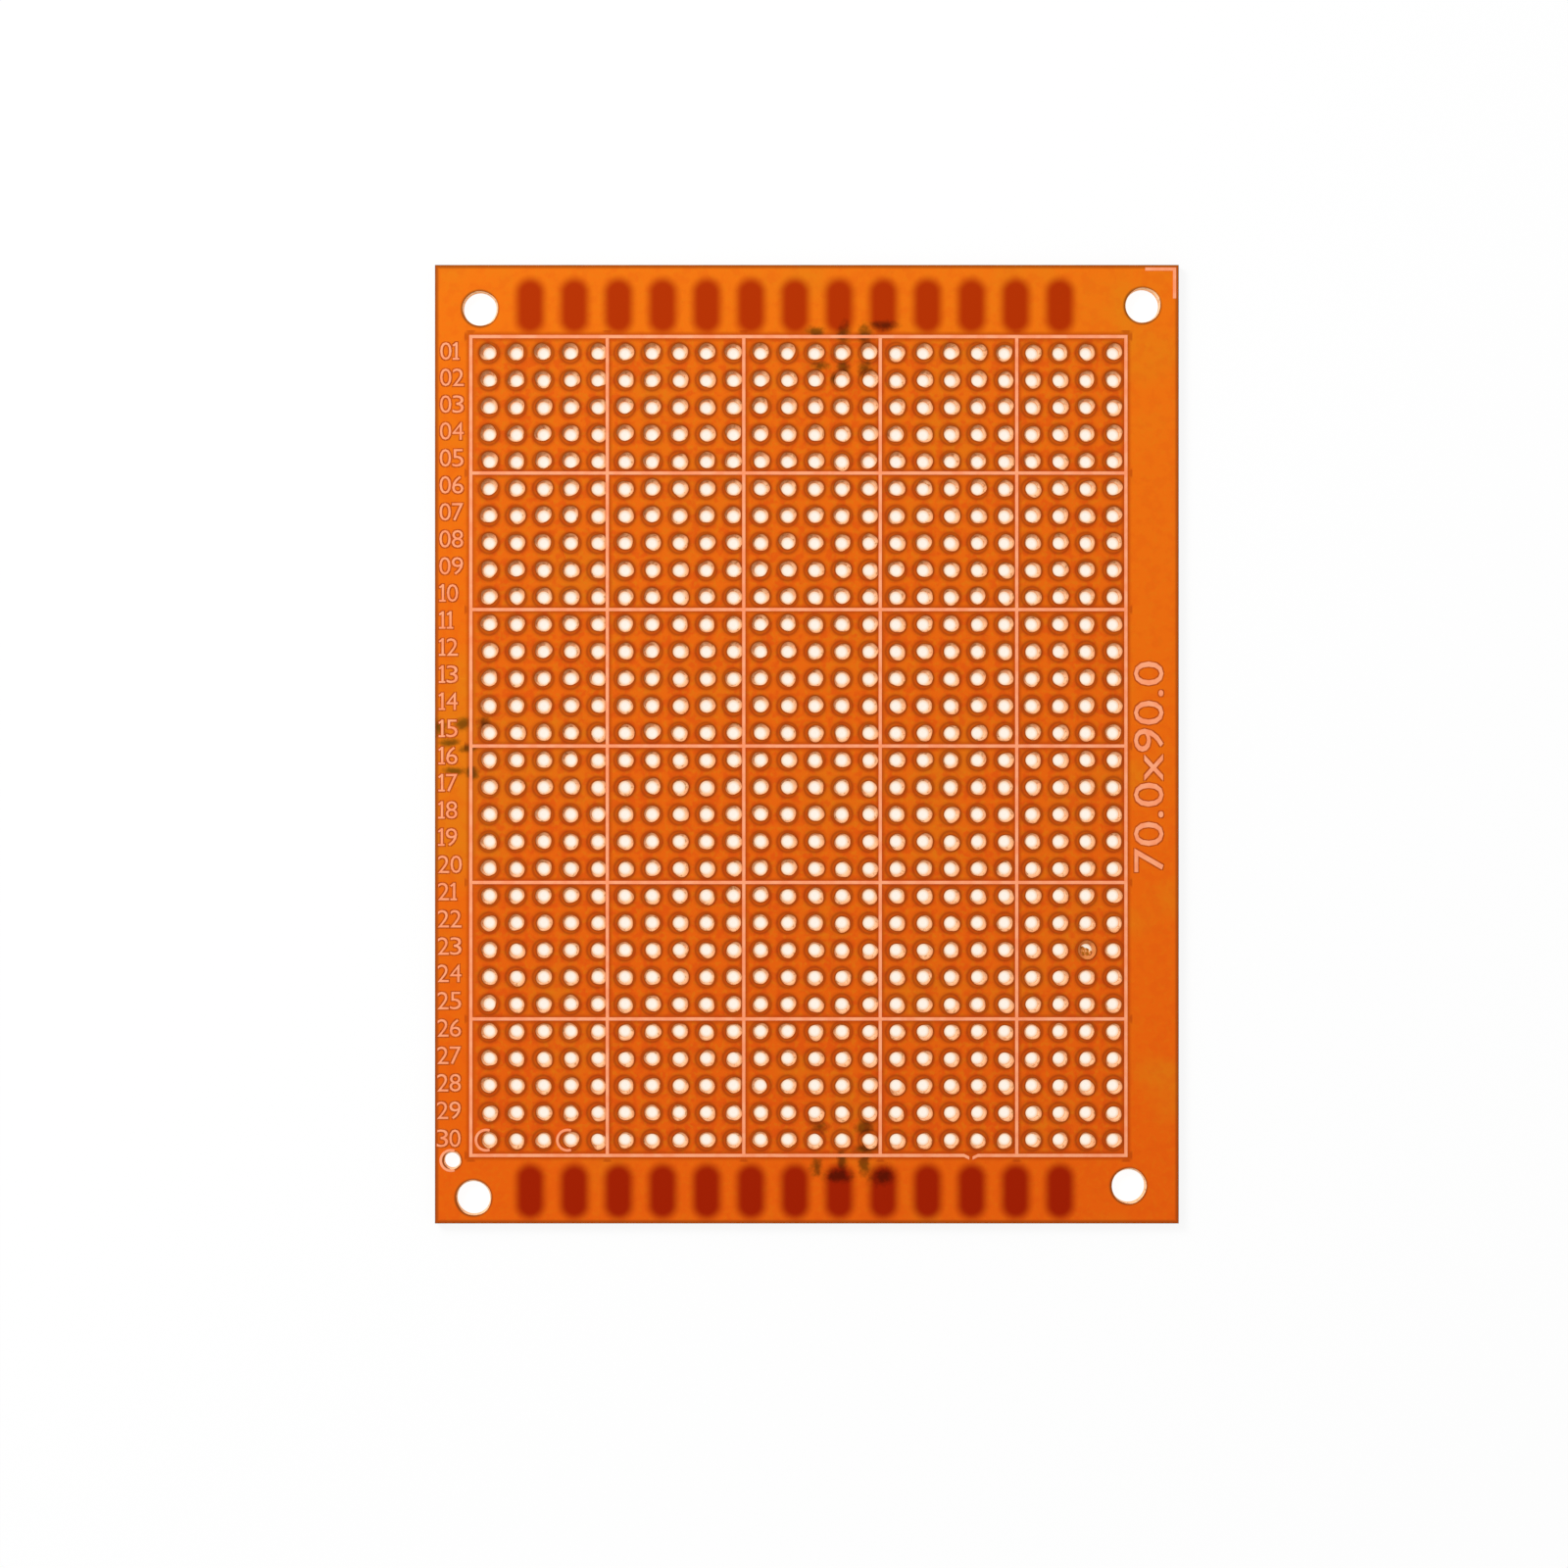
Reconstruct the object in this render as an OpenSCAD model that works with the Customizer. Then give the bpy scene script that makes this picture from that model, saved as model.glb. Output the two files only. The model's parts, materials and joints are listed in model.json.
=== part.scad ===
// Prototype board: a single-sided phenolic laminate sheet, punched with a grid
// of lead holes, with a round copper pad under each hole, a row of oblong
// contact pads under each short edge, and a printed grid on its upper face.
// The sheet lies flat, copper side down. X runs along a row of holes, Y along a
// column, and the origin is the middle of the outline at the underside of the pads.

/* [Sheet] */
// Width of the sheet
board_w = 69.6; // [67:0.2:120]
// Length of the sheet
board_l = 89.7; // [89.5:0.1:140]
// Thickness of the laminate
board_t = 1.2; // [0.8:0.1:2.4]
// Thickness of the copper foil
foil_t = 0.035; // [0.03:0.005:0.2]

/* [Lead holes] */
// Distance from one hole to the next
pitch = 2.54; // [2.52:0.01:2.56]
// Holes in a row
columns = 24; // [10:1:24]
// Rows of holes
rows = 30; // [24:1:30]
// Diameter of a lead hole
hole_d = 1.15; // [0.8:0.05:1.2]
// Diameter of the broken-out mouth on the upper face
mouth_d = 1.5; // [1.3:0.05:1.5]
// Depth of the broken-out mouth
mouth_depth = 0.35; // [0.1:0.05:0.6]
// How far the grid sits to the left of the middle of the sheet
grid_left = 0.54; // [0:0.02:1]
// How far the grid sits below the middle of the sheet
grid_down = 0.22; // [0:0.02:0.5]

/* [Copper pads] */
// Diameter of a round pad
pad_d = 2.0; // [1.8:0.05:2.2]
// Contact pads along one short edge
edge_pads = 13; // [3:1:13]
// Distance from one contact pad to the next
edge_pad_pitch = 4.13; // [3.2:0.01:4.3]
// Width of a contact pad
edge_pad_w = 2.5; // [1.6:0.05:2.8]
// Length of a contact pad
edge_pad_l = 5; // [3:0.05:5.2]
// From the outermost row of holes to the middle of the contact pads
edge_pad_offset = 4.6; // [4:0.02:4.7]
// How far the contact pads sit to the left of the middle of the sheet
edge_pads_left = 1.1; // [0:0.1:1.2]
// How far both rows of contact pads sit below their place beside the holes
edge_pads_down = 0.2; // [0:0.02:0.3]

/* [Mounting holes] */
// Diameter of a mounting hole, for a 3 mm screw
screw_hole_d = 3.1; // [2.7:0.1:3.6]
// From the left edge to the upper left-hand mounting hole
upper_left_in = 4.2; // [3:0.1:4.6]
// From the upper edge to the same hole
upper_left_down = 4.1; // [3:0.1:4.4]
// From the right edge to the upper right-hand mounting hole
upper_right_in = 3.4; // [3:0.1:4]
// From the upper edge to the same hole
upper_right_down = 3.8; // [3:0.1:4.4]
// From the left edge to the lower left-hand mounting hole
lower_left_in = 3.6; // [3:0.1:4.6]
// From the lower edge to the same hole
lower_left_up = 2.4; // [2.2:0.1:3]
// From the right edge to the lower right-hand mounting hole
lower_right_in = 4.7; // [3:0.1:5]
// From the lower edge to the same hole
lower_right_up = 3.5; // [2.4:0.1:4]
// Diameter of the locating hole
locating_hole_d = 1.45; // [1.2:0.05:1.6]
// From the left edge to the locating hole
locating_left = 1.6; // [1.5:0.1:2.2]
// From the lower edge to the locating hole
locating_bottom = 5.9; // [5.5:0.1:6.5]

/* [Print] */
// Thickness of the ink
ink_t = 0.03; // [0.02:0.01:0.1]
// Width of a printed line
line_w = 0.3; // [0.15:0.01:0.3]
// Holes between one printed line and the next
holes_per_cell = 5; // [4:1:6]
// How far the print sits to the left of the holes
print_left = 0.42; // [0.2:0.01:0.43]
// How far the print sits above the holes
print_up = 0.26; // [0.1:0.02:0.3]
// How much wider the print is spaced than the holes, at each hole
print_stretch = 0.014; // [0.012:0.001:0.016]
// Length of each arm of the corner mark
mark_l = 2.9; // [1.5:0.1:3.2]
// From the edges of the sheet to the corner mark
mark_in = 0.24; // [0.16:0.02:0.4]
// Outer diameter of the open rings round the end holes
ring_d = 2.15; // [2.1:0.05:2.2]
// Width of a ring's line
ring_w = 0.24; // [0.15:0.01:0.26]
// Angle over which a ring is left open, clear of the hole's mouth
ring_opening = 140; // [138:2:170]
// How far a ring sits to the left of its lead hole
ring_left = 0.26; // [0.2:0.02:0.26]
// How far the ring at the locating hole sits to its left
locating_ring_left = 0.1; // [0:0.02:0.2]
// Column of the second ringed hole
ringed_column = 4; // [2:1:6]
// From the right end of the lower frame line to the nick in it
nick_from_right = 14.5; // [8:0.1:20]
// Width of the nick
nick_w = 1.3; // [0.8:0.1:2]
// How far the line's ends turn down at the nick
nick_drop = 0.25; // [0.1:0.05:0.3]

/* [Stuck chip] */
// Column of the hole that holds a chip, counted from the right
chip_column = 2; // [1:1:6]
// Row of the hole that holds a chip, counted from the bottom
chip_row = 8; // [1:1:20]
// Thickness of the chip
chip_t = 0.45; // [0.2:0.05:0.6]
// Width of the gap that the chip leaves open
chip_gap = 0.4; // [0.2:0.05:0.6]
// Angle by which the gap is turned clockwise from straight up
chip_turn = 35; // [0:5:60]

/* [Hidden] */
ROW_NODES = [for (row = [1:rows]) str("pad_row_", row < 10 ? "0" : "", row)];

$fn = 32;
grid_w = (columns - 1) * pitch;
grid_l = (rows - 1) * pitch;
first_x = -grid_w / 2 - grid_left;
first_y = grid_l / 2 - grid_down;
top_z = foil_t + board_t;
cut_past = 0.1;
nick_gap = 0.3;
print_x = first_x - pitch / 2 - print_left;
print_y = first_y + pitch / 2 + print_up;
print_step = pitch + print_stretch;
print_w = columns * print_step;
print_l = rows * print_step;
edge_pads_x = -(edge_pads - 1) * edge_pad_pitch / 2 - edge_pads_left;
nick_x = print_x + print_w - nick_from_right;
locating_at = [-board_w / 2 + locating_left, -board_l / 2 + locating_bottom];
// Upper left, upper right, lower left and lower right, as they are punched
screw_holes = [
  [-board_w / 2 + upper_left_in, board_l / 2 - upper_left_down],
  [board_w / 2 - upper_right_in, board_l / 2 - upper_right_down],
  [-board_w / 2 + lower_left_in, -board_l / 2 + lower_left_up],
  [board_w / 2 - lower_right_in, -board_l / 2 + lower_right_up]
];

function hole_x(column) = first_x + (column - 1) * pitch;
function hole_y(row) = first_y - (row - 1) * pitch;

module at_hole(column, row) {
  translate([hole_x(column), hole_y(row)]) children();
}

// The sheet: one punching with square edges, and a broken-out mouth at each lead hole
module board() {
  color("#d9651a") difference() {
    translate([0, 0, foil_t]) linear_extrude(board_t) difference() {
      square([board_w, board_l], center = true);
      for (row = [1:rows], column = [1:columns]) at_hole(column, row) circle(d = hole_d);
      for (at = screw_holes) translate(at) circle(d = screw_hole_d);
      translate(locating_at) circle(d = locating_hole_d);
    }
    for (row = [1:rows], column = [1:columns]) at_hole(column, row) mouth();
  }
}

// The break-out tapers from the hole's wall out to the upper face
module mouth() {
  taper = (mouth_d - hole_d) / 2 / mouth_depth;
  translate([0, 0, top_z - mouth_depth])
    cylinder(h = mouth_depth + cut_past, d1 = hole_d, d2 = mouth_d + 2 * taper * cut_past);
}

// The round pads of one row, each pierced by its hole
module pad_row(row) {
  color("#c9763f") linear_extrude(foil_t)
    for (column = [1:columns]) at_hole(column, row) difference() {
      circle(d = pad_d);
      circle(d = hole_d);
    }
}

// One unpierced contact pad with round ends
module contact_pad() {
  straight = edge_pad_l - edge_pad_w;
  union() {
    square([edge_pad_w, straight], center = true);
    for (side = [-1, 1]) translate([0, side * straight / 2]) circle(d = edge_pad_w);
  }
}

module edge_pad_row(y) {
  color("#c9763f") linear_extrude(foil_t)
    for (place = [0:edge_pads - 1]) translate([edge_pads_x + place * edge_pad_pitch, y]) contact_pad();
}

module edge_pads_top() {
  edge_pad_row(hole_y(1) + edge_pad_offset - edge_pads_down);
}

module edge_pads_bottom() {
  edge_pad_row(hole_y(rows) - edge_pad_offset - edge_pads_down);
}

// Ink: the frame and its grid lines, the corner mark and the open rings
module printed_grid() {
  color("#ffb48c") translate([0, 0, top_z]) linear_extrude(ink_t) {
    grid_lines();
    corner_mark();
    for (column = [1, ringed_column]) at_hole(column, rows) open_ring(ring_left);
    translate(locating_at) open_ring(locating_ring_left);
    nick_ends();
  }
}

module grid_lines() {
  for (column = [0:holes_per_cell:columns - 1]) upright_line(print_x + column * print_step);
  upright_line(print_x + print_w);
  for (row = [0:holes_per_cell:rows - 1]) level_line(print_y - row * print_step);
  difference() {
    level_line(print_y - print_l);
    translate([nick_x, print_y - print_l]) square([nick_w, 2 * line_w], center = true);
  }
}

// The line's two ends turn down at the nick
module nick_ends() {
  half_line = [0, line_w / 2];
  straight_end = [nick_w / 2, 0];
  turned_end = [nick_gap / 2, -nick_drop];
  for (side = [0, 1]) translate([nick_x, print_y - print_l]) mirror([side, 0])
    polygon([straight_end + half_line, turned_end + half_line, turned_end - half_line, straight_end - half_line]);
}

module upright_line(x) {
  translate([x - line_w / 2, print_y - print_l - line_w / 2]) square([line_w, print_l + line_w]);
}

module level_line(y) {
  translate([print_x - line_w / 2, y - line_w / 2]) square([print_w + line_w, line_w]);
}

// Two arms that follow the sheet's upper right-hand corner
module corner_mark() {
  corner = [board_w / 2 - mark_in, board_l / 2 - mark_in];
  translate(corner - [mark_l, line_w]) square([mark_l, line_w]);
  translate(corner - [line_w, mark_l]) square([line_w, mark_l]);
}

// A printed ring round a hole: it sits to the left and is open where it would meet the hole
module open_ring(shift) {
  half = ring_opening / 2;
  translate([-shift, 0]) difference() {
    circle(d = ring_d);
    circle(d = ring_d - 2 * ring_w);
    polygon(ring_d * [[0, 0], [cos(half), -sin(half)], [1, -sin(half)], [1, sin(half)], [cos(half), sin(half)]]);
  }
}

// A chip of laminate that the punch left across one lead hole
module stuck_chip() {
  color("#c98a3c") translate([0, 0, top_z - mouth_depth - chip_t]) linear_extrude(chip_t)
    at_hole(columns + 1 - chip_column, rows + 1 - chip_row) difference() {
      circle(d = hole_d);
      rotate(-chip_turn) translate([-hole_d / 2, hole_d / 2 - chip_gap]) square([hole_d, chip_gap]);
    }
}

board();
edge_pads_top();
edge_pads_bottom();
printed_grid();
stuck_chip();
for (row = [1:rows]) pad_row(row);
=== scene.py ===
# Prototype board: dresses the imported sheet, its copper pads and its print.
import json
import math

import bpy
import numpy as np
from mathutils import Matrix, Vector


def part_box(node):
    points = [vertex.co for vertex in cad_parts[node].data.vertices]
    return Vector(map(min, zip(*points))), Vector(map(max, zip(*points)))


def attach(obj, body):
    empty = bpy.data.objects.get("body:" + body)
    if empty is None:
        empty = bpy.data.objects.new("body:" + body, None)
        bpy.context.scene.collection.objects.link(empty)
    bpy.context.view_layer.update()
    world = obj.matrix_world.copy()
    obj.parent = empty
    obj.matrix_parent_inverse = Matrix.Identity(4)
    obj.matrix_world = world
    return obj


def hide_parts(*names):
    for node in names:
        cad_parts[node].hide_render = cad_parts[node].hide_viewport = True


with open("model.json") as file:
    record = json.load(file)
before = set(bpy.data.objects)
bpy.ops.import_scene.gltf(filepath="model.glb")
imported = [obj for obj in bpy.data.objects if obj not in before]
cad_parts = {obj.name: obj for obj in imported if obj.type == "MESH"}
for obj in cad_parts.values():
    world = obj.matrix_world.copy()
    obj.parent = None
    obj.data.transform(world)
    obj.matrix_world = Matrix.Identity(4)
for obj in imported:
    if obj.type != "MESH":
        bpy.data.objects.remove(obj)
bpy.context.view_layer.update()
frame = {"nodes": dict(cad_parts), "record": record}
mm = 0.001
# Points closer than this are at one place or one height
touch = 0.01 * mm
print("frame loaded")

# The hole and print layout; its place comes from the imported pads
layout = {
    "columns": 24,
    "rows": 30,
    "padRadius": 1.0 * mm,
    "holeRadius": 0.575 * mm,
    "screwRadius": 1.55 * mm,
    "locatingRadius": 0.725 * mm,
    "locatingLeft": 1.6 * mm,
    "locatingBottom": 5.9 * mm,
    "cutEdge": 0.2 * mm,
    "cellHoles": 5,
    "printStep": 2.554 * mm,
    "printLeft": 0.42 * mm,
    "printUp": 0.26 * mm,
    "lineWidth": 0.3 * mm,
}
columns, rows = layout["columns"], layout["rows"]
boardLow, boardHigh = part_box("board")
boardMiddle = (boardLow + boardHigh) / 2
boardHalf = (boardHigh - boardLow) / 2
# All but the cut edge of the sheet lies within this
innerHalf = (boardHalf.x - layout["cutEdge"], boardHalf.y - layout["cutEdge"])
topZ = boardHigh.z
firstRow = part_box("pad_row_01")
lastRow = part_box("pad_row_%02d" % rows)
firstX = firstRow[0].x + layout["padRadius"]
lastX = firstRow[1].x - layout["padRadius"]
firstY = firstRow[1].y - layout["padRadius"]
lastY = lastRow[0].y + layout["padRadius"]
pitch = (lastX - firstX) / (columns - 1)
gridMiddle = ((firstX + lastX) / 2, (firstY + lastY) / 2)
gridHalf = (columns * pitch / 2, rows * pitch / 2)
printX = firstX - pitch / 2 - layout["printLeft"]
printY = firstY + pitch / 2 + layout["printUp"]
printHalf = (columns * layout["printStep"] / 2, rows * layout["printStep"] / 2)
printMiddle = (printX + printHalf[0], printY - printHalf[1])
mountPlaces = {mount["name"]: mount["pos_m"] for mount in frame["record"]["mounts"]}
screwPlaces = [mountPlaces[name] for name in sorted(mountPlaces) if name.endswith("_screw")]
locatingPlace = (boardLow.x + layout["locatingLeft"], boardLow.y + layout["locatingBottom"])
roundHoles = [(place[0], place[1], layout["screwRadius"]) for place in screwPlaces]
roundHoles.append((*locatingPlace, layout["locatingRadius"]))
chipLow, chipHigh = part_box("stuck_chip")
chipMiddle = (chipLow + chipHigh) / 2


def linearColour(text):
    parts = [int(text[i:i + 2], 16) / 255 for i in (1, 3, 5)]
    linear = [p / 12.92 if p <= 0.04045 else ((p + 0.055) / 1.055) ** 2.4 for p in parts]
    return (*linear, 1.0)


def deselectAll():
    if bpy.context.object and bpy.context.object.mode != "OBJECT":
        bpy.ops.object.mode_set(mode="OBJECT")
    bpy.ops.object.select_all(action="DESELECT")


def makeActive(piece):
    deselectAll()
    piece.select_set(True)
    bpy.context.view_layer.objects.active = piece


def readVectors(items, name):
    values = np.empty(len(items) * 3)
    items.foreach_get(name, values)
    return values.reshape(-1, 3)


def readPoints(piece):
    return readVectors(piece.data.vertices, "co")


def writePoints(piece, points):
    piece.data.vertices.foreach_set("co", points.ravel())
    piece.data.update()


# Chosen has a truth value for each point; an edge is selected where both its ends are
def selectPoints(piece, chosen):
    mesh = piece.data
    edges = np.empty(len(mesh.edges) * 2, dtype=int)
    mesh.edges.foreach_get("vertices", edges)
    mesh.vertices.foreach_set("select", chosen)
    mesh.edges.foreach_set("select", chosen[edges].reshape(-1, 2).all(axis=1))
    mesh.polygons.foreach_set("select", [False] * len(mesh.polygons))
    mesh.update()


# Extrudes the selected loop on the spot, then puts the new points where place says
def extrudeSelected(piece, place):
    makeActive(piece)
    bpy.ops.object.mode_set(mode="EDIT")
    bpy.ops.mesh.extrude_region_move(TRANSFORM_OT_translate={"value": (0, 0, 0)})
    bpy.ops.object.mode_set(mode="OBJECT")
    chosen = np.empty(len(piece.data.vertices), dtype=bool)
    piece.data.vertices.foreach_get("select", chosen)
    points = readPoints(piece)
    points[chosen] = place(points[chosen])
    writePoints(piece, points)


def applyPlace(piece):
    makeActive(piece)
    bpy.ops.object.transform_apply(location=True, rotation=True, scale=True)


def applyModifier(piece, kind, **settings):
    modifier = piece.modifiers.new(kind.title(), kind)
    for key, value in settings.items():
        setattr(modifier, key, value)
    makeActive(piece)
    bpy.ops.object.modifier_apply(modifier=modifier.name)


# Merges points that meet and turns every face outwards
def closeMesh(piece):
    makeActive(piece)
    bpy.ops.object.mode_set(mode="EDIT")
    bpy.ops.mesh.select_all(action="SELECT")
    bpy.ops.mesh.remove_doubles(threshold=0.001 * mm)
    bpy.ops.mesh.normals_make_consistent(inside=False)
    bpy.ops.object.mode_set(mode="OBJECT")


# Adds a node, sets and links what it is told to, and gives back one output, or them all; a text
# given for an input is a colour
def addNode(tree, kind, inputs=None, out=0, **settings):
    node = tree.nodes.new("ShaderNode" + kind)
    for key, value in settings.items():
        setattr(node, key, value)
    for key, value in (inputs or {}).items():
        if isinstance(value, bpy.types.NodeSocket):
            tree.links.new(value, node.inputs[key])
        else:
            node.inputs[key].default_value = linearColour(value) if isinstance(value, str) else value
    return node.outputs if out is None else node.outputs[out]


# Settings that many nodes share
mixing = {"data_type": "RGBA", "out": 2}
smooth = {"interpolation_type": "SMOOTHSTEP"}


# Inputs that turn a distance into a share: full up to near, and none from far on
def fading(distance, near, far, share):
    return {"Value": distance, "From Min": near, "From Max": far, "To Min": share, "To Max": 0}


# A new material, and the place on the object that its patterns are drawn by
def newMaterial(name, roughness, specular):
    material = bpy.data.materials.new(name)
    material.use_nodes = True
    tree = material.node_tree
    surface = tree.nodes["Principled BSDF"]
    surface.inputs["Roughness"].default_value = roughness
    surface.inputs["Specular IOR Level"].default_value = specular
    place = addNode(tree, "TexCoord", out="Object")
    return material, tree, surface, place


# Links the colour, and lets a height pattern roughen the surface
def finishMaterial(tree, surface, colour, height, depth, strength):
    bump = addNode(tree, "Bump", {"Height": height, "Strength": strength, "Distance": depth})
    tree.links.new(colour, surface.inputs["Base Color"])
    tree.links.new(bump, surface.inputs["Normal"])


# Paper-phenolic laminate, pressed and cured: orange-brown, a little see-through, and patchy
# where the paper took up more resin. Copper on the far side is painted on as dark soft shadows,
# and the punched grid gets a painted shade for it. Of two shares, the first is for the margins
# and the second for the punched part.
faceLook = {
    "upper": "#F0760F",
    "lower": "#E85E0B",
    "ochre": "#D68C14",
    "red": "#DB460C",
    # The punched grid's tone is a painted shade of the copper behind it
    "punched": "#D9540E",
    "padRingShadow": "#A83E0A",
    "padEdgeShadow": "#842C08",
    # Painted shadows of the contact pads, darker towards the bottom
    "barShadowUpper": "#B63400",
    "barShadowLower": "#9E1B00",
    # Painted shade line round each mouth's edge
    "mouthRimShade": "#7C3A0C",
    "holeLine": "#6A3A14",
    "sheared": "#8A3C10",
    # Painted shade beside the printed lines
    "inkLineShade": "#A83C08",
    "stain": "#849C8C",
    "redShares": (0.14, 0.5),
    "ochreShares": (0.08, 0.3),
    "punchedShadeShare": 0.3,
    "rimShadeShare": 0.75,
    "gradient": (-1, 9.2, 0),
    "driftSize": 9.0 * mm,
    "patchSize": 1.0 * mm,
    "speckSize": 0.45 * mm,
    "fibreSize": 0.09 * mm,
    "ochreMiddle": (-34 * mm, -3 * mm, 0),
    "padRadius": 0.98 * mm,
    "barCount": 13,
    "barWidth": 2.5 * mm,
    "barMargin": 0.6 * mm,
    "raggedSize": 0.8 * mm,
    "raggedness": 1.6,
    "farOff": 9.0,
}

# How each shade fades from what casts it: where it starts to, where it is gone, and its full
# share. A bar's distances are from its outline, and a stain's are in reaches of a blot.
fades = {
    "ochre": (4 * mm, 15 * mm, 0.2),
    "padRingShadow": (0.82 * mm, 1.46 * mm, 0.54),
    "padEdgeShadow": (0.02 * mm, 0.17 * mm, 0.36),
    "bar": (-0.54 * mm, 0.66 * mm, 1),
    "holeLine": (0.1 * mm, 0.36 * mm, 0.75),
    "inkLineShade": (0.18 * mm, 0.6 * mm, 0.55),
    "sheared": (0.14 * mm, 0.46 * mm, 0.68),
    "stain": (1.0, 2.2, 0.9),
}

# Stains in the resin, as three loose groups of blots: the middle and the reach of each, in mm
blots = [
    (0.8, 38.6, 0.9, 0.5), (3.4, 38.4, 0.7, 1.0), (5.4, 38.2, 0.7, 1.1), (7.2, 39.2, 1.2, 0.5),
    (3.5, 35.3, 0.7, 0.6), (5.5, 35.2, 0.8, 0.7), (2.7, 34.2, 0.5, 0.5), (1.3, 35.4, 0.8, 0.4),
    (0.9, -39.5, 0.6, 0.9), (3.3, -39.0, 0.5, 1.1), (2.9, -40.4, 1.4, 0.7), (5.4, -39.3, 0.6, 1.3),
    (7.0, -40.5, 1.4, 0.8), (5.3, -35.9, 0.9, 0.7), (5.4, -37.9, 1.2, 0.5), (1.2, -35.8, 0.9, 0.6),
    (-34.2, 1.6, 0.6, 0.9), (-32.1, 1.9, 0.7, 0.7), (-33.4, 0.1, 1.0, 0.4), (-31.8, -0.4, 0.9, 0.4),
    (-33.0, -2.5, 1.1, 0.4), (-31.3, -2.7, 0.6, 0.6), (-30.3, 2.0, 0.6, 0.6),
]


# 1 inside an upright box round a middle, 0 outside it
def insideBox(tree, place, middle, half):
    origin = (middle[0], middle[1], 0)
    fromMiddle = addNode(tree, "VectorMath", {0: place, 1: origin}, operation="SUBTRACT")
    away = addNode(tree, "VectorMath", {0: fromMiddle}, operation="ABSOLUTE")
    split = addNode(tree, "SeparateXYZ", {0: away}, out=None)
    inX = addNode(tree, "Math", {0: split[0], 1: half[0]}, operation="LESS_THAN")
    inY = addNode(tree, "Math", {0: split[1], 1: half[1]}, operation="LESS_THAN")
    return addNode(tree, "Math", {0: inX, 1: inY}, operation="MULTIPLY")


# How far each point lies from the middle of its own lead hole
def fromHoleMiddle(tree, place):
    flat = addNode(tree, "VectorMath", {0: place, 1: (1, 1, 0)}, operation="MULTIPLY")
    fromHole = addNode(tree, "VectorMath", {0: flat, 1: (firstX, firstY, 0)}, operation="SUBTRACT")
    half = pitch / 2
    inCell = addNode(
        tree, "VectorMath", {0: fromHole, 1: (half, half, 1), 2: (-half, -half, -1)}, operation="WRAP")
    return addNode(tree, "VectorMath", {0: inCell}, out="Value", operation="LENGTH")


# Painted shade of the round pads seen through the sheet: a soft shadow, and the darker line of the pad's edge
def padShadows(tree, place, inGrid):
    away = fromHoleMiddle(tree, place)
    fromEdge = addNode(tree, "Math", {0: away, 1: faceLook["padRadius"]}, operation="SUBTRACT")
    besideEdge = addNode(tree, "Math", {0: fromEdge}, operation="ABSOLUTE")
    ring = addNode(tree, "MapRange", fading(away, *fades["padRingShadow"]), **smooth)
    line = addNode(tree, "MapRange", fading(besideEdge, *fades["padEdgeShadow"]), **smooth)
    return [addNode(tree, "Math", {0: share, 1: inGrid}, operation="MULTIPLY") for share in (ring, line)]


# Painted shadows of the contact pads seen through the sheet: soft dark bars with round ends where they lie
def contactPadShadows(tree, place):
    count, width = faceLook["barCount"], faceLook["barWidth"]
    topLow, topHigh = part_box("edge_pads_top")
    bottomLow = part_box("edge_pads_bottom")[0]
    length = topHigh.y - topLow.y
    step = (topHigh.x - topLow.x - width) / (count - 1)
    middle = ((topLow.x + topHigh.x) / 2, (topHigh.y + bottomLow.y) / 2)
    rowY = (topLow.y + topHigh.y) / 2 - middle[1]
    fromMiddle = addNode(tree, "VectorMath", {0: place, 1: (*middle, 0)}, operation="SUBTRACT")
    split = addNode(tree, "SeparateXYZ", {0: fromMiddle}, out=None)
    inCell = addNode(tree, "Math", {0: split[0], 1: step / 2, 2: -step / 2}, operation="WRAP")
    upDown = addNode(tree, "Math", {0: split[1]}, operation="ABSOLUTE")
    fromRow = addNode(tree, "Math", {0: upDown, 1: rowY}, operation="SUBTRACT")
    besideRow = addNode(tree, "Math", {0: fromRow}, operation="ABSOLUTE")
    pastStraight = addNode(tree, "Math", {0: besideRow, 1: (length - width) / 2}, operation="SUBTRACT")
    pastEnd = addNode(tree, "Math", {0: pastStraight, 1: 0.0}, operation="MAXIMUM")
    fromSpine = addNode(tree, "CombineXYZ", {0: inCell, 1: pastEnd})
    away = addNode(tree, "VectorMath", {0: fromSpine}, out="Value", operation="LENGTH")
    near, far, share = fades["bar"]
    bar = addNode(tree, "MapRange", fading(away, width / 2 + near, width / 2 + far, share), **smooth)
    half = (count * step / 2, topHigh.y - middle[1] + faceLook["barMargin"])
    inRows = insideBox(tree, place, middle, half)
    return addNode(tree, "Math", {0: bar, 1: inRows}, operation="MULTIPLY")


# The thin dark line round each screw hole and the locating hole
def holeLines(tree, place):
    nearest = faceLook["farOff"]
    for x, y, radius in roundHoles:
        away = addNode(tree, "VectorMath", {0: place, 1: (x, y, topZ)}, out="Value", operation="DISTANCE")
        pastWall = addNode(tree, "Math", {0: away, 1: radius}, operation="SUBTRACT")
        nearest = addNode(tree, "Math", {0: pastWall, 1: nearest}, operation="MINIMUM")
    return addNode(tree, "MapRange", fading(nearest, *fades["holeLine"]), **smooth)
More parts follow.
